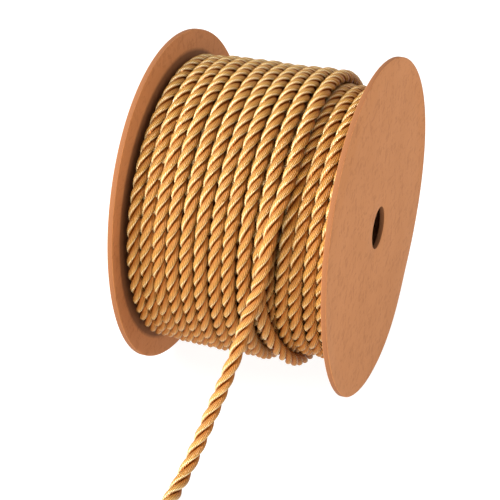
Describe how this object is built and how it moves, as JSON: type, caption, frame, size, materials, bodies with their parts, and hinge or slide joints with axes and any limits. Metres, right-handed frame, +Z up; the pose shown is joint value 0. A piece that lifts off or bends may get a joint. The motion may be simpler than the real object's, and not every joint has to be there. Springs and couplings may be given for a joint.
{
  "type": "spool of twisted decorative cord",
  "caption": "Cardboard spool lying on its rims, wound full with glossy gold three-ply twisted cord whose loose end runs off the front of the winding to the floor.",
  "frame": {"origin": "on the floor, under the middle of the spool's axis", "axes": "+X along the spool's axis towards the disc beside the uncovered lower layer, +Z up; the loose end comes off the front, at -Y"},
  "size_m": [0.0652, 0.1625, 0.0998],
  "materials": {
    "kraft_board": "matte",
    "kraft_tube": "matte",
    "gold_cord": "satin",
    "gold_cord_loose": "satin"
  },
  "bodies": {
    "root": {"disc_left": "kraft_board", "disc_right": "kraft_board", "tube": "kraft_tube", "winding": "gold_cord", "loose_end": "gold_cord_loose"}
  },
  "joints": []
}
